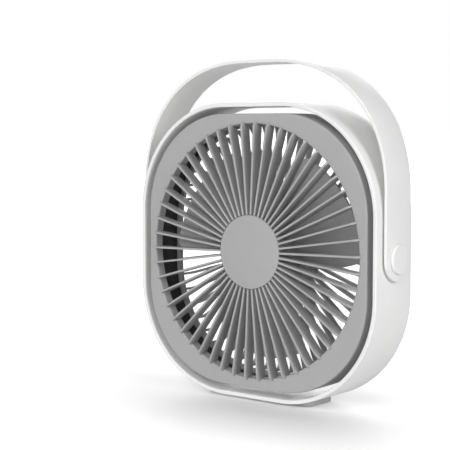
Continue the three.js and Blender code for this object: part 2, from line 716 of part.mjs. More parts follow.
function motorEndCap() {
  const front = MOTOR_BACK - 1.4;
  const back = MOTOR_BACK - 0.1;
  const plate = turned(tube(BEARING_HOLE, MOTOR_RADIUS - 0.9, front, back), 24);
  const hole = disc(MOTOR_SCREW_RADIUS + SEAT_GAP, front - 1, back + 1);
  const holes = [];
  for (const x of [-MOTOR_SCREW_OFFSET, MOTOR_SCREW_OFFSET]) {
    holes.push(turned(hole, SCREW_SIDES).translate(x, 0, 0));
  }
  return combine([plate], holes);
}

// Fixes the motor's end cap to the pod's front wall.
function motorScrew() {
  return screw(MOTOR_BACK - 1.3, POD_FRONT + POD_WALL + 0.9, MOTOR_SCREW_RADIUS, 1.5, 0.8);
}

function motorBearing(front, back) {
  return turned(tube(SHAFT_RADIUS + 0.1, BEARING_RADIUS, front, back));
}

// One of the two curved magnets inside the can.
function motorMagnet(side) {
  const span = THREE.MathUtils.degToRad(65);
  const outline = new THREE.Shape();
  const middleAngle = side > 0 ? 0 : Math.PI;
  outline.absarc(0, 0, MOTOR_RADIUS - 0.9, middleAngle - span, middleAngle + span, false);
  outline.absarc(0, 0, MOTOR_RADIUS - 3.1, middleAngle + span, middleAngle - span, true);
  return extrudeY(outline, MOTOR_FRONT + 1.4, MOTOR_BACK - 2, 4);
}

function motorRotor() {
  return turned(tube(SHAFT_RADIUS + 0.1, 8.4, MOTOR_FRONT + 1.8, MOTOR_BACK - 2.4));
}

function motorShaft() {
  return turned(disc(SHAFT_RADIUS, HUB_FRONT + 0.9, MOTOR_BACK + 0.1));
}

// How far a blade's round tip corners cut into its edges at a radius.
function tipCornerInset(radius) {
  const past = Math.max(0, radius - (BLADE_TIP_RADIUS - BLADE_TIP_CORNER));
  return BLADE_TIP_CORNER - Math.sqrt(Math.max(0, BLADE_TIP_CORNER ** 2 - past ** 2));
}

// A thin twisted blade as a closed grid: the trailing edge is in front and the leading edge at the back.
function bladeGeometry(turn) {
  const radialSteps = 7;
  const chordSteps = 5;
  const vertices = [];
  const index = [];
  for (const face of [-1, 1]) {
    for (let i = 0; i <= radialSteps; i += 1) {
      const along = i / radialSteps;
      const rootRadius = HUB_RADIUS - 1;
      const radius = rootRadius + (BLADE_TIP_RADIUS - rootRadius) * (1 - (1 - along) ** 1.6);
      const reach = (radius - HUB_RADIUS) / (BLADE_TIP_RADIUS - HUB_RADIUS);
      const rounding = tipCornerInset(radius) / radius;
      const trailing = THREE.MathUtils.lerp(BLADE_ROOT_TRAILING, BLADE_TIP_TRAILING, reach) - rounding;
      const leading = THREE.MathUtils.lerp(BLADE_ROOT_LEADING, BLADE_TIP_LEADING, reach) + rounding;
      const trailingY = THREE.MathUtils.lerp(BLADE_ROOT_FRONT, BLADE_TIP_FRONT, along);
      const rise = THREE.MathUtils.lerp(BLADE_ROOT_RISE, BLADE_TIP_RISE, along);
      const thickest = THREE.MathUtils.lerp(BLADE_ROOT_THICKNESS, BLADE_TIP_THICKNESS, along);
      for (let j = 0; j <= chordSteps; j += 1) {
        const chord = j / chordSteps;
        const angle = turn + THREE.MathUtils.lerp(trailing, leading, chord);
        const belly = Math.sin(Math.PI * chord);
        const halfThickness = (thickest / 2) * (0.45 + 0.55 * belly);
        const y = trailingY + rise * chord + BLADE_CAMBER * belly + face * halfThickness;
        vertices.push(radius * Math.cos(angle), y, radius * Math.sin(angle));
      }
    }
  }
  const row = chordSteps + 1;
  const layer = row * (radialSteps + 1);
  const quad = (a, b, c, d) => index.push(a, b, c, a, c, d);
  for (let i = 0; i < radialSteps; i += 1) {
    for (let j = 0; j < chordSteps; j += 1) {
      const a = i * row + j;
      quad(a, a + 1, a + row + 1, a + row);
      quad(layer + a, layer + a + row, layer + a + row + 1, layer + a + 1);
    }
    const front = i * row;
    const back = i * row + chordSteps;
    quad(front, front + row, layer + front + row, layer + front);
    quad(back, layer + back, layer + back + row, back + row);
  }
  for (let j = 0; j < chordSteps; j += 1) {
    const tip = radialSteps * row + j;
    quad(j, layer + j, layer + j + 1, j + 1);
    quad(tip, tip + 1, layer + tip + 1, layer + tip);
  }
  const geometry = new THREE.BufferGeometry();
  geometry.setAttribute('position', new THREE.BufferAttribute(new Float32Array(vertices), 3));
  geometry.setIndex(index);
  return geometry;
}

function impeller() {
  const bore = SHAFT_RADIUS + 0.1;
  const boreEnd = HUB_FRONT + 0.7;
  const edge = 1.2;
  const inner = HUB_RADIUS - HUB_WALL;
  const floor = HUB_FRONT + HUB_WALL;
  const bossEnd = MOTOR_FRONT - 0.8;
  const profile = [
    [bore, boreEnd], [0, boreEnd], [0, HUB_FRONT], [HUB_RADIUS - edge, HUB_FRONT],
    [HUB_RADIUS, HUB_FRONT + edge], [HUB_RADIUS, HUB_BACK], [inner, HUB_BACK], [inner, floor],
    [HUB_BOSS_RADIUS, floor], [HUB_BOSS_RADIUS, bossEnd], [bore, bossEnd], [bore, boreEnd],
  ];
  const blades = [];
  for (let i = 0; i < BLADE_COUNT; i += 1) {
    blades.push(bladeGeometry((2 * Math.PI * i) / BLADE_COUNT));
  }
  return combine([turned(profile, 32), ...blades]);
}

// ---------------------------------------------------------------- assembly

addPart('outer_ring', outerRing(), whitePlastic());
addPart('base_foot', baseFoot(), plastic(0x9a9a9a, 0.7));
addPart('handle_strap', handleStrap(), whitePlastic());
for (const [label, side] of [['left', -1], ['right', 1]]) {
  addPart(`pivot_collar_${label}`, pivotCollar(side), whitePlastic());
  addPart(`strap_washer_${label}`, strapWasher(side), darkPlastic());
  addPart(`pivot_cap_${label}`, pivotCap(side), whitePlastic());
  addPart(`pivot_pin_${label}`, pivotPin(side), darkPlastic());
  addPart(`pivot_screw_${label}`, pivotScrew(side), steel());
  addPart(`tilt_washer_${label}`, tiltWasher(side), darkPlastic());
  addPart(`motor_magnet_${label}`, motorMagnet(side), plastic(0x3a3a3c, 0.7));
  addPart(`pod_screw_${label}`, podScrew().translate(side * POD_SCREW_OFFSET, 0, 0), steel());
  addPart(`motor_screw_${label}`, motorScrew().translate(side * MOTOR_SCREW_OFFSET, 0, 0), steel());
}

addPart('front_grille', frontGrille(), greyPlastic());
addPart('face_disc', faceDisc(), greyPlastic());
addPart('head_shell', headShell(), greyPlastic());
addPart('duct_ring', ductRing(), darkPlastic());
addPart('rear_grille', rearGrille(), greyPlastic());
housingScrewPlaces().forEach(([x, z], i) => {
  addPart(`housing_screw_${i + 1}`, housingScrew().translate(x, 0, z), steel());
});

addPart('pod_cover', podCover(), greyPlastic());
addPart('circuit_board', circuitBoard(), plastic(0x1f6b3a, 0.5));
addPart('battery_cell', batteryCell(), plastic(0xc9ccd0, 0.4));
addPart('usb_socket', usbSocket(), steel());
addPart('tact_switch', tactSwitch(), darkPlastic());
addPart('power_button', powerButton(), whitePlastic());
addPart('indicator_light', indicatorLight(), plastic(0xdff3ff, 0.2));

addPart('motor_can', motorCan(), steel());
addPart('motor_end_cap', motorEndCap(), darkPlastic());
addPart('motor_bearing_front', motorBearing(MOTOR_FRONT, MOTOR_FRONT + 1.5), bronze());
addPart('motor_bearing_rear', motorBearing(MOTOR_BACK - 1.4, MOTOR_BACK - 0.1), bronze());
addPart('motor_rotor', motorRotor(), metal(0x9b5b32, 0.5));
addPart('motor_shaft', motorShaft(), steel());
addPart('impeller', impeller(), greyPlastic());

export default fan;
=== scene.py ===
import json
import math

import bmesh
import bpy
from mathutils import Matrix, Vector


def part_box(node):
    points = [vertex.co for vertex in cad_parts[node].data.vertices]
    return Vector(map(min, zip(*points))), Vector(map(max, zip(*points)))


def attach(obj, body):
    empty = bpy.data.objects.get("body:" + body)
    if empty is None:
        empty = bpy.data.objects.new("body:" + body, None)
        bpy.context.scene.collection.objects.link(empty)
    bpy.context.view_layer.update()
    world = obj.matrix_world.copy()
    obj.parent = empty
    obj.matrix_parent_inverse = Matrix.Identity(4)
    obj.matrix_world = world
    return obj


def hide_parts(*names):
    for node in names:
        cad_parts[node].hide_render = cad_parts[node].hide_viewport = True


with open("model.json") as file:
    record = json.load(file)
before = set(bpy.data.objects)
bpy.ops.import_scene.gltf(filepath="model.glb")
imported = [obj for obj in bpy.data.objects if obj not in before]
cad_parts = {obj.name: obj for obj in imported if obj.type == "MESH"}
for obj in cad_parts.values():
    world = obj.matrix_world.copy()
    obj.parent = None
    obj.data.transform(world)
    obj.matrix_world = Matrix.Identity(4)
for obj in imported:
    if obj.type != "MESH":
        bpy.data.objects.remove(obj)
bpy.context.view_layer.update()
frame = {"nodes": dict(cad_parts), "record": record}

# ---------------------------------------------------------------- sizes in metres

MM = 0.001

ring_low, ring_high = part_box("outer_ring")
AXIS_HEIGHT = (ring_low.z + ring_high.z) / 2  # above the floor; the other heights are from the axis
RING_HALF_WIDTH = ring_high.x
RING_HALF_HEIGHT = (ring_high.z - ring_low.z) / 2
RING_FRONT = ring_low.y
RING_BACK = ring_high.y
RING_CORNER = 56.3 * MM
RING_WALL = 2.1 * MM
RING_EDGE = 0.55 * MM

foot_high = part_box("base_foot")[1]
FOOT_CORNER = 4.5 * MM
FOOT_EDGE = 0.5 * MM
FOOT_CORNER_STEPS = 10
FOOT_SIDE_STEPS = 40
SEAT_GAP = 0.2 * MM

strap_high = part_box("handle_strap")[1]
STRAP_HALF_WIDTH = strap_high.x
STRAP_HALF_BREADTH = strap_high.y
STRAP_TOP = strap_high.z - AXIS_HEIGHT
STRAP_THICKNESS = 1.5 * MM
STRAP_EDGE = 0.35 * MM
# each half of the arch is a quarter of a superellipse, its stations' angles closer together at both ends
ARCH_RADIUS_X = 68.8 * MM
ARCH_RADIUS_Z = 67 * MM
ARCH_POWER = 2.24
ARCH_CROWDING = 0.12

CAP_RADIUS = 7.4 * MM
CAP_BORE = 5.2 * MM
CAP_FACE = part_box("pivot_cap_right")[1].x
CAP_WALL = 0.7 * MM
CAP_FACE_EDGE = 0.7 * MM
CAP_SEAT_EDGE = 0.15 * MM
CAP_GAP = 0.1 * MM
COLLAR_HOLE = 4.4 * MM

grille_low, grille_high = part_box("front_grille")
HEAD_INSET = RING_HALF_WIDTH - grille_high.x
SLAT_FRONT = grille_low.y
SLAT_BACK = -11.2 * MM
SLAT_COUNT = 50
SLAT_THICKNESS = 1 * MM
SLAT_FRONT_EDGE = 0.14 * MM
SLAT_BACK_EDGE = 0.2 * MM
SLAT_PHASE = math.radians(1.15)
SLAT_STRAIGHT_RADIUS = 63 * MM
SLAT_TIP_RADIUS = 66.3 * MM
PLATE_FRONT = -15.5 * MM
PLATE_BACK = -13.5 * MM
PLATE_EDGE = 0.8 * MM
SKIRT_BACK = -11.6 * MM
LIP_RADIUS = 65.8 * MM
LIP_EDGE = 0.8 * MM
LIP_BACK_RADIUS = 64.4 * MM
LIP_BACK = SLAT_BACK
LIP_WALL = 1.2 * MM
DISC_RADIUS = 18.8 * MM
HUB_RING_INNER = 14.6 * MM
HUB_RING_OUTER = 18.2 * MM
FACE_SEAT = -16.1 * MM

SHELL_FRONT = -11.4 * MM
SHELL_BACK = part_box("head_shell")[1].y
SHELL_WALL = 2 * MM
SHELL_BACK_EDGE = 1.2 * MM
PIN_HOLE = 2.2 * MM
PIN_FLANGE_HOLE = 3.1 * MM
OPENING_CORNER = 55.5 * MM
DUCT_OUTSET = 2.2 * MM
DUCT_FRONT, DUCT_BACK = (corner.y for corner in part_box("duct_ring"))
DUCT_WALL = 1 * MM
rear_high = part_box("rear_grille")[1]
REAR_RIB_DEPTH = 3.8 * MM
REAR_RIB_THICKNESS = 1.2 * MM
REAR_RIB_FRONT_EDGE = 0.2 * MM
REAR_RIB_BACK_EDGE = 0.35 * MM
REAR_RIB_BEND = 3.7 * MM
REAR_RIB_ROOT_BACK = 14.2 * MM
REAR_RIB_BACK = rear_high.y
REAR_RIM_WIDTH = 1.6 * MM
REAR_RIM_FRONT = 2.9 * MM
REAR_RIM_BACK = SHELL_BACK + 0.5 * MM
REAR_PHASE = math.radians(1)
OPENING_HALF_WIDTH = rear_high.x - REAR_RIM_WIDTH
OPENING_HALF_HEIGHT = rear_high.z - AXIS_HEIGHT - REAR_RIM_WIDTH
POD_RADIUS = 22.3 * MM
POD_WALL = 1.5 * MM
POD_FRONT = 4.2 * MM
POD_BACK = 14.6 * MM
COVER_FRONT, COVER_BACK = (corner.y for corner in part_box("pod_cover"))

screw_low, screw_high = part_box("housing_screw_4")
SCREW_OFFSET = (screw_low.x + screw_high.x) / 2
SCREW_PLACES = [(x, z) for x in (-SCREW_OFFSET, SCREW_OFFSET) for z in (-SCREW_OFFSET, SCREW_OFFSET)]
SCREW_HOLE = 1.5 * MM
SCREW_RECESS = 2.5 * MM
SCREW_RECESS_DEPTH = 0.9 * MM
BOSS_RADIUS = 2.6 * MM
BOSS_SINK = 0.5 * MM  # how far a boss is sunk into its wall
POD_SCREW_PLACES = [(-16.5 * MM, 0), (16.5 * MM, 0)]
POD_BOSS_HOLE = 1.35 * MM
COVER_SCREW_HOLE = 1.4 * MM
COVER_SCREW_RECESS = 2.4 * MM
COVER_SCREW_RECESS_DEPTH = 0.8 * MM

button_low, button_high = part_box("power_button")
BUTTON_HEIGHT = (button_low.z + button_high.z) / 2 - AXIS_HEIGHT
BUTTON_RADIUS = 6 * MM
socket_low, socket_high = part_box("usb_socket")
SOCKET_HEIGHT = (socket_low.z + socket_high.z) / 2 - AXIS_HEIGHT
light_low, light_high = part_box("indicator_light")
LIGHT_HEIGHT = (light_low.z + light_high.z) / 2 - AXIS_HEIGHT

BLADE_COUNT = 3
BLADE_TIP_RADIUS = 56 * MM
BLADE_TIP_CORNER = 3 * MM
BLADE_ROOT_TRAILING, BLADE_TIP_TRAILING = math.radians(64.7), math.radians(61)
BLADE_ROOT_LEADING, BLADE_TIP_LEADING = math.radians(-20.6), math.radians(-3.2)
BLADE_ROOT_FRONT, BLADE_TIP_FRONT = -8.2 * MM, -7 * MM
BLADE_ROOT_RISE, BLADE_TIP_RISE = 10.4 * MM, 8.2 * MM
BLADE_ROOT_THICKNESS, BLADE_TIP_THICKNESS = 1.6 * MM, 1 * MM
BLADE_CAMBER = 1.1 * MM
HUB_RADIUS = 17.6 * MM
HUB_FRONT = -10.2 * MM
HUB_BACK = 2.6 * MM

ROUND_STEPS = 160
HUB_RING_STEPS = 128
KNOB_STEPS = 96
PIVOT_HOLE_STEPS = 64
SCREW_STEPS = 40
SMALL_HOLE_STEPS = 32
CORNER_STEPS = 44
SIDE_STEPS = 10
CUT_MARGIN = 1 * MM  # how far a cutter stands out of the wall that it cuts
ON_AXIS = 0.0001 * MM  # a smaller radius is a point on the axis
SHARP_ANGLE = math.radians(38)  # edges bent more than this stay sharp

# ---------------------------------------------------------------- mesh helpers


def mix(a, b, share):
    return a + (b - a) * share


def quarter_turn(steps, first=0):
    """The angles from zero to a right angle in equal steps, from the given step on."""
    return [math.pi / 2 * i / steps for i in range(first, steps + 1)]


def arc_between(start, end, centre, steps):
    """Points from start to end round a centre, both the same distance from it."""
    first = math.atan2(start.y - centre.y, start.x - centre.x)
    turn = math.atan2(end.y - centre.y, end.x - centre.x) - first
    turn = (turn + math.pi) % (2 * math.pi) - math.pi
    radius = (start - centre).length
    points = []
    for i in range(steps + 1):
        angle = first + turn * i / steps
        points.append(centre + radius * Vector((math.cos(angle), math.sin(angle))))
    return points


def rounded(corners, steps=4, closed=True):
    """A profile whose corners (a, b, radius) are turned into arcs. A corner with no radius stays sharp."""
    points = []
    count = len(corners)
    for i, corner in enumerate(corners):
        here = Vector(corner[:2])
        radius = corner[2] if len(corner) > 2 else 0
        if radius == 0 or (not closed and i in (0, count - 1)):
            points.append(here)
            continue
        before = (Vector(corners[i - 1][:2]) - here).normalized()
        after = (Vector(corners[(i + 1) % count][:2]) - here).normalized()
        half = before.angle(after) / 2
        cut = radius / math.tan(half)
        centre = here + (before + after).normalized() * (radius / math.sin(half))
        points.extend(arc_between(here + before * cut, here + after * cut, centre, steps))
    return points


class Shell:
    """One mesh in the making, in metres about the fan's axis."""

    def __init__(self):
        self.mesh = bmesh.new()

    def skin(self, loops, closed=False, capped=False):
        """Joins loops of points into a surface. A loop of one point is a pole."""
        rows = [[self.mesh.verts.new(point) for point in loop] for loop in loops]
        pairs = list(zip(rows, rows[1:]))
        if closed:
            pairs.append((rows[-1], rows[0]))
        for near, far in pairs:
            self.bridge(near, far)
        if capped:
            self.mesh.faces.new(rows[0])
            self.mesh.faces.new(rows[-1])

    def bridge(self, near, far):
        if len(near) == 1:
            near, far = far, near
        count = len(near)
        for i in range(count):
            j = (i + 1) % count
            if len(far) == 1:
                self.mesh.faces.new((near[i], near[j], far[0]))
            else:
                self.mesh.faces.new((near[i], near[j], far[j], far[i]))

    def turn(self, profile, closed=False, steps=ROUND_STEPS, centre=(0, 0), side=0):
        """Turns a profile of (radius, distance) round the fan axis, or round the pivot axis on one side."""
        loops = []
        for radius, distance in profile:
            if radius < ON_AXIS:
                loops.append([self.round_point(0, distance, 0, centre, side)])
                continue
            angles = [2 * math.pi * i / steps for i in range(steps)]
            loops.append([self.round_point(radius, distance, a, centre, side) for a in angles])
        self.skin(loops, closed)

    def rod(self, radius, near, far, steps, centre=(0, 0), side=0):
        """A cylinder between two distances."""
        self.turn([(0, near), (radius, near), (radius, far), (0, far)], steps=steps, centre=centre, side=side)

    def pivot_rods(self, radius, near, far, steps):
        """A cylinder on each side of the fan, along the pivot axis."""
        for side in (-1, 1):
            self.rod(radius, near, far, steps, side=side)

    def tube(self, inner, outer, near, far, steps, centre):
        """A straight tube along the fan axis."""
        section = [(inner, near), (outer, near), (outer, far), (inner, far)]
        self.turn(section, closed=True, steps=steps, centre=centre)

    @staticmethod
    def round_point(radius, distance, angle, centre, side):
        across, up = radius * math.cos(angle), radius * math.sin(angle)
        if side:
            return Vector((side * distance, across, up))
        return Vector((centre[0] + across, distance, centre[1] + up))

    def into(self, data):
        """Writes the mesh, moved up to its place and with its faces turned outwards."""
        bmesh.ops.translate(self.mesh, vec=(0, 0, AXIS_HEIGHT), verts=self.mesh.verts)
        bmesh.ops.recalc_face_normals(self.mesh, faces=self.mesh.faces)
        self.mesh.to_mesh(data)
        self.mesh.free()


def new_object(name, shell):
    data = bpy.data.meshes.new(name)
    shell.into(data)
    obj = bpy.data.objects.new(name, data)
    bpy.context.scene.collection.objects.link(obj)
    return obj


def apply_modifiers(obj):
    """Replaces the object's mesh with the one its modifiers make."""
    graph = bpy.context.evaluated_depsgraph_get()
    made = bpy.data.meshes.new_from_object(obj.evaluated_get(graph))
    obj.modifiers.clear()
    obj.data = made


def carve(obj, cutter_shell):
    """Cuts the cutters' closed bodies out of the object."""
    cutter = new_object(f"{obj.name}_cutter", cutter_shell)
    cut = obj.modifiers.new("cut", "BOOLEAN")
    cut.operation = "DIFFERENCE"
    cut.solver = "EXACT"
    cut.object = cutter
    apply_modifiers(obj)
    bpy.data.objects.remove(cutter)


def add_shell(obj, shell):
    """Adds more closed bodies to an object's mesh."""
    extra = bpy.data.meshes.new("extra")
    shell.into(extra)
    both = bmesh.new()
    both.from_mesh(obj.data)
    both.from_mesh(extra)
    both.to_mesh(obj.data)
    both.free()
    bpy.data.meshes.remove(extra)


def place(obj, body, slot, node):
    """Shades a piece, gives it its slot's material, and lets it ride in place of its CAD node."""
    obj.data.shade_smooth()
    obj.data.set_sharp_from_angle(angle=SHARP_ANGLE)
    obj.data.materials.clear()
    obj.data.materials.append(MATERIALS[slot])
    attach(obj, body)
    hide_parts(node)


# ---------------------------------------------------------------- outlines


def outline_frame(half_width, half_height, corner):
    """Points of a rounded square, each with the direction that faces out of it."""
    cx, cz = half_width - corner, half_height - corner
    stations = []
    for quarter in range(4):
        sx = 1 if quarter in (0, 3) else -1
        sz = 1 if quarter in (0, 1) else -1
        centre = Vector((sx * cx, 0, sz * cz))
        for i in range(CORNER_STEPS + 1):
            angle = (quarter + i / CORNER_STEPS) * math.pi / 2
            out = Vector((math.cos(angle), 0, math.sin(angle)))
            stations.append((centre + out * corner, out))
        following = (quarter + 1) % 4
        nsx = 1 if following in (0, 3) else -1
        nsz = 1 if following in (0, 1) else -1
        start = stations[-1][0]
        end = Vector((nsx * cx, 0, nsz * cz)) + out * corner
        for i in range(1, SIDE_STEPS):
            stations.append((mix(start, end, i / SIDE_STEPS), out))
    return stations


HOOP = outline_frame(RING_HALF_WIDTH, RING_HALF_HEIGHT, RING_CORNER)
OPENING = outline_frame(OPENING_HALF_WIDTH, OPENING_HALF_HEIGHT, OPENING_CORNER)


def hoop_loop(inset, y):
    """The hoop's outline, moved inwards."""
    return [point - out * inset + Vector((0, y, 0)) for point, out in HOOP]


def opening_loop(outset, y):
    """The rear opening's outline, moved outwards."""
    return [point + out * outset + Vector((0, y, 0)) for point, out in OPENING]


def opening_radius(angle):
    """Distance from the fan axis to the rear opening's edge."""
    cosine, sine = abs(math.cos(angle)), abs(math.sin(angle))
    x, z = OPENING_HALF_WIDTH - OPENING_CORNER, OPENING_HALF_HEIGHT - OPENING_CORNER
    if OPENING_HALF_WIDTH * sine < z * cosine:
        return OPENING_HALF_WIDTH / cosine
    if OPENING_HALF_HEIGHT * cosine < x * sine:
        return OPENING_HALF_HEIGHT / sine
    return x * cosine + z * sine + math.sqrt(OPENING_CORNER**2 - (x * sine - z * cosine) ** 2)


def circle_loop(radius, y):
    """A circle with a point in line with each point of the head's outline."""
    loop = []
    for point in hoop_loop(HEAD_INSET, 0):
        flat = Vector((point.x, 0, point.z)).normalized()
        loop.append(flat * radius + Vector((0, y, 0)))
    return loop


def between(first, last, steps):
    """Loops from one to another, both left out."""
    loops = []
    for i in range(1, steps):
        loops.append([mix(a, b, i / steps) for a, b in zip(first, last)])
    return loops


def slat(shell, angle, stations, thickness, front_edge, back_edge):
    """A radial slat. Each station is its front and back point, as (radius, y)."""
    along = Vector((math.cos(angle), 0, math.sin(angle)))
    across = Vector((-math.sin(angle), 0, math.cos(angle)))
    half = thickness / 2
    loops = []
    for front, back in stations:
        front, back = Vector(front), Vector(back)
        depth = (back - front).length
        section = rounded([(-half, 0, front_edge), (half, 0, front_edge),
                           (half, depth, back_edge), (-half, depth, back_edge)], steps=3)
        loop = []
        for side, down in section:
            radius, y = mix(front, back, down / depth)
            loop.append(along * radius + across * side + Vector((0, y, 0)))
        loops.append(loop)
    shell.skin(loops, capped=True)


# ---------------------------------------------------------------- materials


class Nodes:
    """A material's node tree, with short calls to add to it."""

    def __init__(self, name):
        self.material = bpy.data.materials.new(name)
        self.material.use_nodes = True
        self.tree = self.material.node_tree
        self.shader = self.tree.nodes["Principled BSDF"]
        self.position = self.add("ShaderNodeTexCoord").outputs["Object"]

    def add(self, kind, **settings):
        node = self.tree.nodes.new(kind)
        for key, value in settings.items():
            setattr(node, key, value)
        return node

    def link(self, source, target):
        self.tree.links.new(source, target)

    def noise(self, size, detail=3, stretch=None):
        """Noise with features of about the given size in metres."""
        texture = self.add("ShaderNodeTexNoise")
        texture.inputs["Scale"].default_value = 1 / size
        texture.inputs["Detail"].default_value = detail
        source = self.position
        if stretch:
            mapping = self.add("ShaderNodeMapping")
            mapping.inputs["Scale"].default_value = stretch
            self.link(source, mapping.inputs["Vector"])
            source = mapping.outputs["Vector"]
        self.link(source, texture.inputs["Vector"])
        return texture.outputs["Fac"]

    def spread(self, source, low, high, from_low=0.3, from_high=0.7):
        """The source's middle range, spread from low to high."""
        node = self.add("ShaderNodeMapRange")
        for socket, value in (("From Min", from_low), ("From Max", from_high),
                              ("To Min", low), ("To Max", high)):
            node.inputs[socket].default_value = value
        self.link(source, node.inputs["Value"])
        return node.outputs["Result"]

    def blend_colour(self, factor, first, second):
        """A colour between two, each a plain colour or a socket."""
        node = self.add("ShaderNodeMix", data_type="RGBA")
        self.link(factor, node.inputs["Factor"])
        for value, socket in ((first, node.inputs[6]), (second, node.inputs[7])):
            if hasattr(value, "links"):
                self.link(value, socket)
            else:
                socket.default_value = (*value, 1)
        return node.outputs[2]

    def arithmetic(self, operation, first, second):
        node = self.add("ShaderNodeMath", operation=operation)
        for value, socket in ((first, node.inputs[0]), (second, node.inputs[1])):
            if hasattr(value, "links"):
                self.link(value, socket)
            else:
                socket.default_value = value
        return node.outputs[0]

    def edges(self):
        """1 on outward edges, 0 elsewhere."""
        geometry = self.add("ShaderNodeNewGeometry")
        return self.spread(geometry.outputs["Pointiness"], 0, 1, 0.52, 0.6)


def scaled(colour, factor):
    return tuple(min(1.0, channel * factor) for channel in colour)


def finish_material(name, colour, roughness, grain, bump, metallic=0.0, stretch=None, dust=0.0, wear=1.08):
    """A moulded or metal surface: fine grain, uneven gloss, slight colour drift, worn edges and dust."""
    drift_size, wear_size, dust_size, smear_size, wave_size = 22 * MM, 5 * MM, 9 * MM, 14 * MM, 12 * MM
    grain_height, wave_height, wave_strength = 0.04 * MM, 0.05 * MM, 0.12
    dust_colour = (0.55, 0.54, 0.52)
    nodes = Nodes(name)
    shader = nodes.shader
    shader.inputs["Metallic"].default_value = metallic

    drift = nodes.spread(nodes.noise(drift_size, 4), 0, 1)
    base = nodes.blend_colour(drift, scaled(colour, 0.975), scaled(colour, 1.02))
    speckle = nodes.spread(nodes.noise(grain * 3, 2), 0, 0.35)
    base = nodes.blend_colour(speckle, base, scaled(colour, 0.96))
    edge = nodes.edges()
    edge_patches = nodes.arithmetic("MULTIPLY", edge, nodes.spread(nodes.noise(wear_size, 3), 0.1, 0.7))
    base = nodes.blend_colour(edge_patches, base, scaled(colour, wear))
    if dust:
        film = nodes.spread(nodes.noise(dust_size, 5), 0, dust, 0.45, 0.75)
        base = nodes.blend_colour(film, base, dust_colour)
    nodes.link(base, shader.inputs["Base Color"])

    smears = nodes.spread(nodes.noise(smear_size, 5), roughness - 0.05, roughness + 0.06)
    polished = nodes.arithmetic("MULTIPLY", edge_patches, -0.1)
    nodes.link(nodes.arithmetic("ADD", smears, polished), shader.inputs["Roughness"])

    relief = nodes.add("ShaderNodeBump")
    relief.inputs["Strength"].default_value = bump
    relief.inputs["Distance"].default_value = grain_height
    nodes.link(nodes.noise(grain, 2, stretch), relief.inputs["Height"])
    wave = nodes.add("ShaderNodeBump")
    wave.inputs["Strength"].default_value = wave_strength
    wave.inputs["Distance"].default_value = wave_height
    nodes.link(nodes.noise(wave_size, 1), wave.inputs["Height"])
    nodes.link(relief.outputs["Normal"], wave.inputs["Normal"])
    nodes.link(wave.outputs["Normal"], shader.inputs["Normal"])
    return nodes


def make_materials():
    """One finished material for each slot of the record."""
    made = {}

    def add(slot, colour, roughness, **settings):
        nodes = finish_material(slot, colour, roughness, **settings)
        made[slot] = nodes.material
        return nodes.shader

    along_z, brushed = (1, 1, 8), (1, 14, 1)
    add("white_plastic", (0.79, 0.79, 0.785), 0.42, grain=0.4 * MM, bump=0.08)
    add("white_button", (0.77, 0.77, 0.76), 0.36, grain=0.25 * MM, bump=0.1)
    add("grey_plastic", (0.37, 0.37, 0.37), 0.52, grain=0.28 * MM, bump=0.2, dust=0.06)
    add("grey_blades", (0.32, 0.32, 0.32), 0.42, grain=0.3 * MM, bump=0.1, dust=0.08)
    add("foot_rubber", (0.34, 0.34, 0.34), 0.8, grain=0.35 * MM, bump=0.3, dust=0.1)
    # near black: on the duct this darkness is painted shade, standing in for the dim inside of the head
    add("dark_plastic", (0.025, 0.025, 0.026), 0.6, grain=0.3 * MM, bump=0.2, dust=0.05, wear=1.6)
    add("washer", (0.1, 0.1, 0.1), 0.55, grain=0.3 * MM, bump=0.15)
    steel = add("steel", (0.6, 0.61, 0.62), 0.32, grain=0.25 * MM, bump=0.25, metallic=1.0, stretch=brushed)
    steel.inputs["Anisotropic"].default_value = 0.3
    add("bronze", (0.45, 0.28, 0.12), 0.45, grain=0.2 * MM, bump=0.4, metallic=1.0)
    add("magnet", (0.05, 0.05, 0.055), 0.7, grain=0.2 * MM, bump=0.5)
    add("rotor_core", (0.4, 0.17, 0.07), 0.4, grain=0.3 * MM, bump=0.6, metallic=0.8, stretch=along_z)
    board = add("board_green", (0.02, 0.16, 0.06), 0.3, grain=0.4 * MM, bump=0.15)
    board.inputs["Coat Weight"].default_value = 0.4
    add("cell_wrap", (0.6, 0.62, 0.65), 0.35, grain=0.8 * MM, bump=0.35, metallic=0.9)
    lens = add("light_lens", (0.75, 0.85, 0.9), 0.15, grain=0.4 * MM, bump=0.05)
    lens.inputs["Coat Weight"].default_value = 0.6
    return made


MATERIALS = make_materials()


def dress_cad_nodes():
    """The CAD nodes that stay in sight take their slot's material."""
    for row in frame["record"]["subparts"]:
        node = frame["nodes"][row["node"]]
        node.data.materials.clear()
        node.data.materials.append(MATERIALS[row["material_slot"]])


# ---------------------------------------------------------------- frame: hoop and foot


def make_hoop():
    cutter_depth = 4 * MM
    profile = rounded([(0, RING_FRONT, RING_EDGE), (0, RING_BACK, RING_EDGE),
                       (RING_WALL, RING_BACK, RING_EDGE), (RING_WALL, RING_FRONT, RING_EDGE)], steps=5)
    shell = Shell()
    shell.skin([hoop_loop(inset, y) for inset, y in profile], closed=True)
    hoop = new_object("hoop", shell)
    bores = Shell()
    near, far = RING_HALF_WIDTH - cutter_depth, RING_HALF_WIDTH + CUT_MARGIN
    bores.pivot_rods(COLLAR_HOLE, near, far, PIVOT_HOLE_STEPS)
    carve(hoop, bores)
    place(hoop, "frame", "white_plastic", "outer_ring")


def hoop_underside(x):
    """Height of the hoop's underside above the fan axis."""
    flat = RING_HALF_WIDTH - RING_CORNER
    bend = max(0.0, abs(x) - flat)
    return -RING_HALF_HEIGHT + RING_CORNER - math.sqrt(RING_CORNER**2 - bend**2)


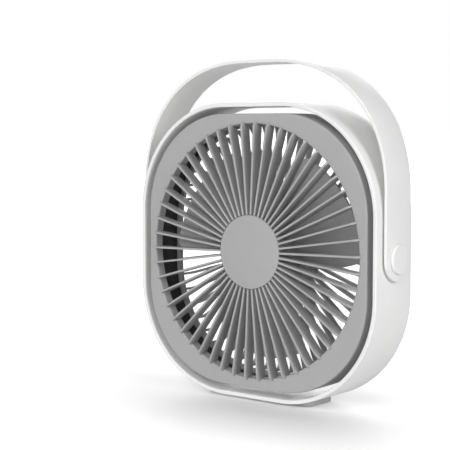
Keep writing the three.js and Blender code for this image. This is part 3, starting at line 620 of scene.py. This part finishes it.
def make_foot():
    """A pad with round corners in plan, whose top follows the hoop."""
    half_length, half_width = foot_high.x, foot_high.y
    bottom = -AXIS_HEIGHT
    stations = []
    for angle in quarter_turn(FOOT_CORNER_STEPS):
        x = half_length - FOOT_CORNER + FOOT_CORNER * math.cos(angle)
        stations.append((x, half_width - FOOT_CORNER + FOOT_CORNER * math.sin(angle)))
    inner = half_length - FOOT_CORNER
    for i in range(1, FOOT_SIDE_STEPS):
        stations.append((inner - 2 * inner * i / FOOT_SIDE_STEPS, half_width))
    stations += [(-x, width) for x, width in reversed(stations[:FOOT_CORNER_STEPS + 1])]
    loops = []
    for x, width in stations:
        top = hoop_underside(x) - SEAT_GAP
        section = rounded([(-width, bottom, FOOT_EDGE), (width, bottom, FOOT_EDGE),
                           (width, top), (-width, top)], steps=4)
        loops.append([Vector((x, y, z)) for y, z in section])
    shell = Shell()
    shell.skin(loops, capped=True)
    place(new_object("foot_pad", shell), "frame", "foot_rubber", "base_foot")


# ---------------------------------------------------------------- handle


def arch_point(angle, inset):
    """A point of the strap's outer face, or of the face inset from it."""
    x = STRAP_HALF_WIDTH - ARCH_RADIUS_X + (ARCH_RADIUS_X - inset) * math.cos(angle) ** (2 / ARCH_POWER)
    z = STRAP_TOP - ARCH_RADIUS_Z + (ARCH_RADIUS_Z - inset) * math.sin(angle) ** (2 / ARCH_POWER)
    return Vector((x, 0, z))


def strap_half():
    """Stations from the tip of the right leg to the middle of the arch.

    Each is its outer point, its inner point and half its breadth.
    """
    tip_steps, leg_steps, arch_steps = 22, 10, 72
    stations = []
    radius = STRAP_HALF_BREADTH
    inward = Vector((-STRAP_THICKNESS, 0, 0))
    for angle in quarter_turn(tip_steps, first=1):
        outer = Vector((STRAP_HALF_WIDTH, 0, -radius * math.cos(angle)))
        stations.append((outer, outer + inward, radius * math.sin(angle)))
    shoulder = STRAP_TOP - ARCH_RADIUS_Z
    for i in range(1, leg_steps):
        outer = Vector((STRAP_HALF_WIDTH, 0, shoulder * i / leg_steps))
        stations.append((outer, outer + inward, radius))
    for i in range(arch_steps + 1):
        share = i / arch_steps
        angle = math.pi / 2 * (share - ARCH_CROWDING * math.sin(2 * math.pi * share) / math.pi)
        angle = min(math.pi / 2, max(0.0, angle))
        stations.append((arch_point(angle, 0), arch_point(angle, STRAP_THICKNESS), radius))
    return stations


def make_strap():
    widest_edge, cutter_depth = 0.9, 3 * MM
    right = strap_half()
    left = []
    for outer, inner, breadth in reversed(right):
        left.append((Vector((-outer.x, 0, outer.z)), Vector((-inner.x, 0, inner.z)), breadth))
    loops = []
    for outer, inner, breadth in right + left:
        edge = min(STRAP_EDGE, breadth * widest_edge)
        section = rounded([(0, -breadth, edge), (0, breadth, edge),
                           (STRAP_THICKNESS, breadth, edge), (STRAP_THICKNESS, -breadth, edge)], steps=4)
        loop = []
        for depth, y in section:
            loop.append(mix(outer, inner, depth / STRAP_THICKNESS) + Vector((0, y, 0)))
        loops.append(loop)
    shell = Shell()
    shell.skin(loops, capped=True)
    strap = new_object("strap", shell)
    holes = Shell()
    near, far = STRAP_HALF_WIDTH - cutter_depth, STRAP_HALF_WIDTH + CUT_MARGIN
    holes.pivot_rods(COLLAR_HOLE, near, far, PIVOT_HOLE_STEPS)
    carve(strap, holes)
    place(strap, "handle", "white_plastic", "handle_strap")


def make_caps():
    seat, inside = STRAP_HALF_WIDTH + CAP_GAP, CAP_FACE - CAP_WALL
    profile = rounded([(0, CAP_FACE), (CAP_RADIUS, CAP_FACE, CAP_FACE_EDGE),
                       (CAP_RADIUS, seat, CAP_SEAT_EDGE), (CAP_BORE, seat),
                       (CAP_BORE, inside), (0, inside)], steps=6, closed=False)
    for label, side in (("left", -1), ("right", 1)):
        shell = Shell()
        shell.turn(profile, steps=KNOB_STEPS, side=side)
        place(new_object(f"cap_{label}", shell), "handle", "white_plastic", f"pivot_cap_{label}")


# ---------------------------------------------------------------- head: front grille


def grille_plate(shell):
    """The front plate, with its lip round the opening and its skirt at the outside."""
    lip_steps, plate_steps, edge_steps = 8, 5, 5
    lip_root = LIP_RADIUS + 0.1 * MM
    loops = [circle_loop(LIP_BACK_RADIUS, LIP_BACK)]
    for angle in reversed(quarter_turn(lip_steps)):
        radius = LIP_RADIUS - LIP_EDGE * math.sin(angle)
        loops.append(circle_loop(radius, PLATE_FRONT + LIP_EDGE * (1 - math.cos(angle))))
    edge_start = hoop_loop(HEAD_INSET + PLATE_EDGE, PLATE_FRONT)
    loops += between(loops[-1], edge_start, plate_steps)
    for angle in quarter_turn(edge_steps):
        inset = HEAD_INSET + PLATE_EDGE * (1 - math.sin(angle))
        loops.append(hoop_loop(inset, PLATE_FRONT + PLATE_EDGE * (1 - math.cos(angle))))
    loops.append(hoop_loop(HEAD_INSET, SKIRT_BACK))
    loops.append(hoop_loop(HEAD_INSET + SHELL_WALL, SKIRT_BACK))
    loops.append(hoop_loop(HEAD_INSET + SHELL_WALL, PLATE_BACK))
    loops.append(circle_loop(lip_root, PLATE_BACK))
    loops.append(circle_loop(LIP_BACK_RADIUS + LIP_WALL, LIP_BACK))
    shell.skin(loops, closed=True)


def front_slat_stations():
    """A front slat: low under the face disc, straight, then rounded down into the lip."""
    straight_steps, tip_steps = 6, 12
    root = (HUB_RING_INNER + HUB_RING_OUTER) / 2
    disc_edge = DISC_RADIUS + 0.15 * MM
    rise_end = disc_edge + 0.05 * MM
    tip_front = PLATE_FRONT + 0.3 * MM
    stations = [((root, FACE_SEAT), (root, SLAT_BACK)), ((disc_edge, FACE_SEAT), (disc_edge, SLAT_BACK)),
                ((rise_end, SLAT_FRONT), (rise_end, SLAT_BACK))]
    for i in range(1, straight_steps + 1):
        radius = mix(disc_edge, SLAT_STRAIGHT_RADIUS, i / straight_steps)
        stations.append(((radius, SLAT_FRONT), (radius, SLAT_BACK)))
    for angle in quarter_turn(tip_steps, first=1):
        radius = mix(SLAT_STRAIGHT_RADIUS, SLAT_TIP_RADIUS, math.sin(angle))
        inside_lip = max(0.0, min(1.0, (radius - LIP_BACK_RADIUS) / LIP_EDGE))
        back = mix(SLAT_BACK, PLATE_FRONT + LIP_EDGE, inside_lip)
        stations.append(((radius, mix(tip_front, SLAT_FRONT, math.cos(angle))), (radius, back)))
    return stations


def make_front_grille():
    shell = Shell()
    grille_plate(shell)
    stations = front_slat_stations()
    for i in range(SLAT_COUNT):
        angle = SLAT_PHASE + 2 * math.pi * i / SLAT_COUNT
        slat(shell, angle, stations, SLAT_THICKNESS, SLAT_FRONT_EDGE, SLAT_BACK_EDGE)
    front_edge, back_edge = 0.2 * MM, 0.4 * MM
    hub_ring = rounded([(HUB_RING_INNER, FACE_SEAT), (HUB_RING_OUTER, FACE_SEAT, front_edge),
                        (HUB_RING_OUTER, SLAT_BACK, back_edge), (HUB_RING_INNER, SLAT_BACK, back_edge)])
    shell.turn(hub_ring, closed=True, steps=HUB_RING_STEPS)
    for centre in SCREW_PLACES:
        shell.tube(SCREW_HOLE, BOSS_RADIUS, PLATE_BACK - BOSS_SINK, SKIRT_BACK, SMALL_HOLE_STEPS, centre)
    place(new_object("grille_front", shell), "head", "grey_plastic", "front_grille")


def make_face_disc():
    front_edge, back_edge = 0.35 * MM, 0.1 * MM
    back = FACE_SEAT - 0.15 * MM
    spigot, spigot_back = 14.3 * MM, -13 * MM
    profile = rounded([(0, SLAT_FRONT), (DISC_RADIUS, SLAT_FRONT, front_edge), (DISC_RADIUS, back, back_edge),
                       (spigot, back), (spigot, spigot_back), (0, spigot_back)], steps=5, closed=False)
    shell = Shell()
    shell.turn(profile)
    place(new_object("disc_front", shell), "head", "grey_plastic", "face_disc")


# ---------------------------------------------------------------- head: shell, duct, rear grille


def make_head_shell():
    back_steps, edge_steps = 4, 6
    inner = HEAD_INSET + SHELL_WALL
    hole = REAR_RIM_WIDTH + SEAT_GAP
    loops = [hoop_loop(inner, SHELL_FRONT), hoop_loop(HEAD_INSET, SHELL_FRONT),
             hoop_loop(HEAD_INSET, mix(SHELL_FRONT, SHELL_BACK, 0.5))]
    for angle in quarter_turn(edge_steps):
        inset = HEAD_INSET + SHELL_BACK_EDGE * (1 - math.cos(angle))
        loops.append(hoop_loop(inset, SHELL_BACK - SHELL_BACK_EDGE * (1 - math.sin(angle))))
    loops += between(loops[-1], opening_loop(hole, SHELL_BACK), back_steps)
    loops.append(opening_loop(hole, SHELL_BACK))
    loops.append(opening_loop(hole, SHELL_BACK - SHELL_WALL))
    loops.append(hoop_loop(inner, SHELL_BACK - SHELL_WALL))
    shell = Shell()
    shell.skin(loops, closed=True)
    head = new_object("shell_rear", shell)
    cutters = Shell()
    bosses = Shell()
    beyond, shelf = SHELL_BACK + CUT_MARGIN, SHELL_BACK - SCREW_RECESS_DEPTH
    hole_end, boss_end, cutter_depth = 1 * MM, 3.2 * MM, 4 * MM
    for centre in SCREW_PLACES:
        recess = [(0, beyond), (SCREW_RECESS, beyond), (SCREW_RECESS, shelf), (SCREW_HOLE, shelf),
                  (SCREW_HOLE, hole_end), (0, hole_end)]
        cutters.turn(recess, steps=SCREW_STEPS, centre=centre)
        bosses.tube(SCREW_HOLE, BOSS_RADIUS, SHELL_FRONT, boss_end, SCREW_STEPS, centre)
    side_face = RING_HALF_WIDTH - HEAD_INSET
    cutters.pivot_rods(PIN_HOLE, side_face - cutter_depth, side_face + CUT_MARGIN, SCREW_STEPS)
    carve(head, cutters)
    add_shell(head, bosses)
    place(head, "head", "grey_plastic", "head_shell")


def make_duct():
    front_edge, cutter_length = 0.3 * MM, 5 * MM
    inner, outer = DUCT_OUTSET, DUCT_OUTSET + DUCT_WALL
    profile = rounded([(inner, DUCT_FRONT, front_edge), (outer, DUCT_FRONT, front_edge),
                       (outer, DUCT_BACK), (inner, DUCT_BACK)])
    shell = Shell()
    shell.skin([opening_loop(outset, y) for outset, y in profile], closed=True)
    duct = new_object("duct_wall", shell)
    holes = Shell()
    holes.pivot_rods(PIN_FLANGE_HOLE, OPENING_HALF_WIDTH, OPENING_HALF_WIDTH + cutter_length, SCREW_STEPS)
    carve(duct, holes)
    # the duct's near-black colour is painted shade for the dim inside of the head
    place(duct, "head", "dark_plastic", "duct_ring")


def rear_rib_stations(angle):
    """A rear rib: nearly flat from the pod to its shoulder, then round forwards and down into the rim."""
    flat_steps, bend_steps, foot_steps = 5, 8, 3
    root = POD_RADIUS - POD_WALL / 2
    foot_inner = opening_radius(angle) + 0.1 * MM
    foot_outer = opening_radius(angle) + REAR_RIM_WIDTH - 0.4 * MM
    foot_front = REAR_RIM_FRONT + 0.3 * MM
    back_bend = REAR_RIB_BACK - REAR_RIB_BEND
    front_bend = back_bend - REAR_RIB_DEPTH + 1.3 * MM
    stations = []
    for i in range(flat_steps + 1):
        share = i / flat_steps
        back = mix(REAR_RIB_ROOT_BACK, REAR_RIB_BACK, share)
        stations.append(((mix(root, foot_inner - REAR_RIB_BEND, share), back - REAR_RIB_DEPTH),
                         (mix(root, foot_outer - REAR_RIB_BEND, share), back)))
    for turn in quarter_turn(bend_steps, first=1):
        inwards = REAR_RIB_BEND * (1 - math.sin(turn))
        front = (foot_inner - inwards, mix(front_bend, REAR_RIB_BACK - REAR_RIB_DEPTH, math.cos(turn)))
        back = (foot_outer - inwards, mix(back_bend, REAR_RIB_BACK, math.cos(turn)))
        stations.append((front, back))
    for i in range(1, foot_steps + 1):
        share = i / foot_steps
        stations.append(((foot_inner, mix(front_bend, foot_front, share)),
                         (foot_outer, mix(back_bend, foot_front, share))))
    return stations


def make_rear_grille():
    rim_edge, pod_front_edge, pod_back_edge = 0.4 * MM, 1 * MM, 0.2 * MM
    profile = rounded([(0, REAR_RIM_FRONT), (REAR_RIM_WIDTH, REAR_RIM_FRONT),
                       (REAR_RIM_WIDTH, REAR_RIM_BACK, rim_edge), (0, REAR_RIM_BACK, rim_edge)])
    shell = Shell()
    shell.skin([opening_loop(outset, y) for outset, y in profile], closed=True)
    for i in range(SLAT_COUNT):
        angle = REAR_PHASE + 2 * math.pi * i / SLAT_COUNT
        stations = rear_rib_stations(angle)
        slat(shell, angle, stations, REAR_RIB_THICKNESS, REAR_RIB_FRONT_EDGE, REAR_RIB_BACK_EDGE)
    inner = POD_RADIUS - POD_WALL
    floor = POD_FRONT + POD_WALL
    shaft_hole = 3.2 * MM
    pod = rounded([(shaft_hole, POD_FRONT), (POD_RADIUS, POD_FRONT, pod_front_edge),
                   (POD_RADIUS, POD_BACK, pod_back_edge), (inner, POD_BACK),
                   (inner, floor), (shaft_hole, floor)])
    shell.turn(pod, closed=True)
    boss_back = POD_BACK - 1 * MM
    for centre in POD_SCREW_PLACES:
        shell.tube(POD_BOSS_HOLE, BOSS_RADIUS, floor - BOSS_SINK, boss_back, SMALL_HOLE_STEPS, centre)
    place(new_object("grille_rear", shell), "head", "grey_plastic", "rear_grille")


# ---------------------------------------------------------------- head: pod cover and button


def make_pod_cover():
    front_edge, back_edge = 0.2 * MM, 0.7 * MM
    button_hole, light_hole, socket_gap = BUTTON_RADIUS + 0.2 * MM, 1.2 * MM, 0.3 * MM
    profile = rounded([(0, COVER_FRONT), (POD_RADIUS, COVER_FRONT, front_edge),
                       (POD_RADIUS, COVER_BACK, back_edge), (0, COVER_BACK)], steps=6, closed=False)
    shell = Shell()
    shell.skin([circle_loop(radius, y) for radius, y in profile[1:-1]], capped=True)
    cover = new_object("cover_pod", shell)
    near, far = COVER_FRONT - CUT_MARGIN, COVER_BACK + CUT_MARGIN
    shelf = COVER_BACK - COVER_SCREW_RECESS_DEPTH
    cutters = Shell()
    cutters.rod(button_hole, near, far, KNOB_STEPS, centre=(0, BUTTON_HEIGHT))
    cutters.rod(light_hole, near, far, SMALL_HOLE_STEPS, centre=(0, LIGHT_HEIGHT))
    for centre in POD_SCREW_PLACES:
        recess = [(0, near), (COVER_SCREW_HOLE, near), (COVER_SCREW_HOLE, shelf),
                  (COVER_SCREW_RECESS, shelf), (COVER_SCREW_RECESS, far), (0, far)]
        cutters.turn(recess, steps=SCREW_STEPS, centre=centre)
    half_width = socket_high.x + socket_gap
    half_height = (socket_high.z - socket_low.z) / 2 + socket_gap
    corner = half_height - 0.05 * MM
    slot = rounded([(-half_width, -half_height, corner), (half_width, -half_height, corner),
                    (half_width, half_height, corner), (-half_width, half_height, corner)], steps=10)
    ends = [[Vector((x, y, SOCKET_HEIGHT + z)) for x, z in slot] for y in (near, far)]
    cutters.skin(ends, capped=True)
    carve(cover, cutters)
    place(cover, "head", "grey_plastic", "pod_cover")


def make_button():
    """A button with a dished top, a flange under the cover and a plunger."""
    dish_steps, dish_depth, dish_margin, top_edge = 6, 0.3 * MM, 0.9 * MM, 0.6 * MM
    plunger, plunger_front = 4.6 * MM, 14.4 * MM
    flange, flange_front, flange_back = button_high.x, button_low.y, COVER_FRONT - 0.2 * MM
    top = button_high.y
    dish = []
    dish_radius = BUTTON_RADIUS - dish_margin
    for i in range(dish_steps + 1):
        share = i / dish_steps
        dish.append((dish_radius * share, top - dish_depth * (1 - share**2)))
    sides = rounded([(dish_radius, top), (BUTTON_RADIUS, top, top_edge), (BUTTON_RADIUS, flange_back),
                     (flange, flange_back), (flange, flange_front), (plunger, flange_front),
                     (plunger, plunger_front), (0, plunger_front)], steps=6, closed=False)
    shell = Shell()
    shell.turn(dish + [tuple(point) for point in sides[1:]], steps=KNOB_STEPS, centre=(0, BUTTON_HEIGHT))
    place(new_object("button_power", shell), "button", "white_button", "power_button")


# ---------------------------------------------------------------- impeller


def tip_corner_inset(radius):
    """How far a blade's round tip corners cut into its edges."""
    past = max(0.0, radius - BLADE_TIP_RADIUS + BLADE_TIP_CORNER)
    return BLADE_TIP_CORNER - math.sqrt(max(0.0, BLADE_TIP_CORNER**2 - past**2))


def blade(shell, turn):
    """A thin twisted blade: each loop goes round one section, out along one face and back along the other."""
    radial_steps, chord_steps, tip_crowding = 36, 28, 1.6
    edge_share, belly_share = 0.45, 0.55
    end_share, end_slope = 0.35, 20
    root = HUB_RADIUS - 1 * MM
    loops = []
    for i in range(radial_steps + 1):
        along = i / radial_steps
        radius = mix(root, BLADE_TIP_RADIUS, 1 - (1 - along) ** tip_crowding)
        reach = (radius - HUB_RADIUS) / (BLADE_TIP_RADIUS - HUB_RADIUS)
        rounding = tip_corner_inset(radius) / radius
        trailing = mix(BLADE_ROOT_TRAILING, BLADE_TIP_TRAILING, reach) - rounding
        leading = mix(BLADE_ROOT_LEADING, BLADE_TIP_LEADING, reach) + rounding
        front = mix(BLADE_ROOT_FRONT, BLADE_TIP_FRONT, along)
        rise = mix(BLADE_ROOT_RISE, BLADE_TIP_RISE, along)
        thickest = mix(BLADE_ROOT_THICKNESS, BLADE_TIP_THICKNESS, along)
        faces = []
        for face in (-1, 1):
            line = []
            for j in range(chord_steps + 1):
                chord = j / chord_steps
                belly = math.sin(math.pi * chord)
                half = thickest / 2 * (edge_share + belly_share * belly)
                half *= min(1.0, end_share + end_slope * min(chord, 1 - chord))
                y = front + rise * chord + BLADE_CAMBER * belly + face * half
                angle = turn + mix(trailing, leading, chord)
                line.append(Vector((radius * math.cos(angle), y, radius * math.sin(angle))))
            faces.append(line)
        loops.append(faces[0] + faces[1][::-1])
    shell.skin(loops, capped=True)


def make_impeller():
    bore, wall, boss = 1.1 * MM, 1.7 * MM, 3.2 * MM
    front_edge, back_edge = 1.3 * MM, 0.3 * MM
    inner = HUB_RADIUS - wall
    floor = HUB_FRONT + wall
    boss_end, bore_end = -6.8 * MM, HUB_FRONT + 0.7 * MM
    profile = rounded([(0, HUB_FRONT), (HUB_RADIUS, HUB_FRONT, front_edge), (HUB_RADIUS, HUB_BACK, back_edge),
                       (inner, HUB_BACK), (inner, floor), (boss, floor), (boss, boss_end), (bore, boss_end),
                       (bore, bore_end), (0, bore_end)], steps=6, closed=False)
    shell = Shell()
    shell.turn(profile)
    for i in range(BLADE_COUNT):
        blade(shell, 2 * math.pi * i / BLADE_COUNT)
    place(new_object("fan_blades", shell), "impeller", "grey_blades", "impeller")


# ---------------------------------------------------------------- stage, light and camera


def make_floor():
    """White paper with a faint painted glow, weakest near the foot and stronger away from it, which lightens
    the fan's soft shadow on the floor and fades the floor into the backdrop. Only the camera sees the glow.
    """
    half, gap = 30, 0.1 * MM
    height = -AXIS_HEIGHT - gap
    shell = Shell()
    corners = [(-half, -half), (half, -half), (half, half), (-half, half)]
    shell.mesh.faces.new([shell.mesh.verts.new((x, y, height)) for x, y in corners])
    floor = new_object("floor", shell)

    nodes = Nodes("floor_paper")
    shader = nodes.shader
    tone = nodes.spread(nodes.noise(0.15, 3), 0, 1)
    paper = nodes.blend_colour(tone, (0.88, 0.88, 0.88), (0.9, 0.9, 0.9))
    nodes.link(paper, shader.inputs["Base Color"])
    shader.inputs["Roughness"].default_value = 0.6
    shader.inputs["Specular IOR Level"].default_value = 0.2

    # painted light: the floor's glow grows with distance from a point just in front of and right of the foot,
    # lightening the fan's soft shadow
    oval, offset = (0.5, 1, 0), (-0.01, 0.025, 0)
    glow_start, glow_end, least_glow, most_glow = 0.02, 0.53, 0.01, 0.08
    flattened = nodes.add("ShaderNodeVectorMath", operation="MULTIPLY_ADD")
    nodes.link(nodes.position, flattened.inputs[0])
    flattened.inputs[1].default_value = oval
    flattened.inputs[2].default_value = offset
    distance = nodes.add("ShaderNodeVectorMath", operation="LENGTH")
    nodes.link(flattened.outputs["Vector"], distance.inputs[0])
    glow = nodes.spread(distance.outputs["Value"], glow_start, glow_end, least_glow, most_glow)
    seen = nodes.add("ShaderNodeLightPath").outputs["Is Camera Ray"]
    nodes.link(nodes.arithmetic("MULTIPLY", glow, seen), shader.inputs["Emission Strength"])
    shader.inputs["Emission Color"].default_value = (1, 1, 1, 1)
    floor.data.materials.append(nodes.material)


def soft_sun(name, source, angle, power):
    """A far, soft light that shines from the source towards the fan."""
    data = bpy.data.lights.new(name, "SUN")
    data.angle = math.radians(angle)
    data.energy = power
    lamp = bpy.data.objects.new(name, data)
    lamp.rotation_euler = (-Vector(source)).to_track_quat("-Z", "Y").to_euler()
    bpy.context.scene.collection.objects.link(lamp)


def make_lights():
    """A white backdrop that lights the fan less than it shows, a soft key light and two weaker ones."""
    backdrop_light = 0.2
    world = bpy.data.worlds.new("studio")
    world.use_nodes = True
    tree = world.node_tree
    backdrop = tree.nodes["Background"]
    backdrop.inputs["Color"].default_value = (1, 1, 1, 1)
    seen = tree.nodes.new("ShaderNodeLightPath")
    strength = tree.nodes.new("ShaderNodeMapRange")
    strength.inputs["To Min"].default_value = backdrop_light
    strength.inputs["To Max"].default_value = 1.0
    tree.links.new(seen.outputs["Is Camera Ray"], strength.inputs["Value"])
    tree.links.new(strength.outputs["Result"], backdrop.inputs["Strength"])
    bpy.context.scene.world = world
    soft_sun("key", (0.09, -0.92, 0.33), 60, 0.76 * math.pi)
    soft_sun("side", (1, -0.1, 0.38), 30, 0.5 * math.pi)
    soft_sun("back", (-0.5, 1, 0.14), 40, 0.42 * math.pi)


def make_camera():
    """Right of the front and slightly above, with a long lens."""
    azimuth, elevation = math.radians(39.107), math.radians(4.293)
    distance = 0.66637
    target = Vector((-16.858 * MM, -16.04 * MM, AXIS_HEIGHT + 12.899 * MM))
    back = Vector((math.sin(azimuth) * math.cos(elevation), -math.cos(azimuth) * math.cos(elevation),
                   math.sin(elevation)))
    data = bpy.data.cameras.new("camera")
    data.lens = 103.46
    data.sensor_width = 36
    data.clip_start, data.clip_end = 0.01, 100
    camera = bpy.data.objects.new("camera", data)
    camera.location = target + back * distance
    camera.rotation_euler = (-back).to_track_quat("-Z", "Y").to_euler()
    bpy.context.scene.collection.objects.link(camera)
    bpy.context.scene.camera = camera


# ---------------------------------------------------------------- everything

dress_cad_nodes()
make_hoop()
make_foot()
make_strap()
make_caps()
make_front_grille()
make_face_disc()
make_head_shell()
make_duct()
make_rear_grille()
make_pod_cover()
make_button()
make_impeller()
make_floor()
make_lights()
make_camera()
bpy.context.scene.view_settings.view_transform = "Standard"
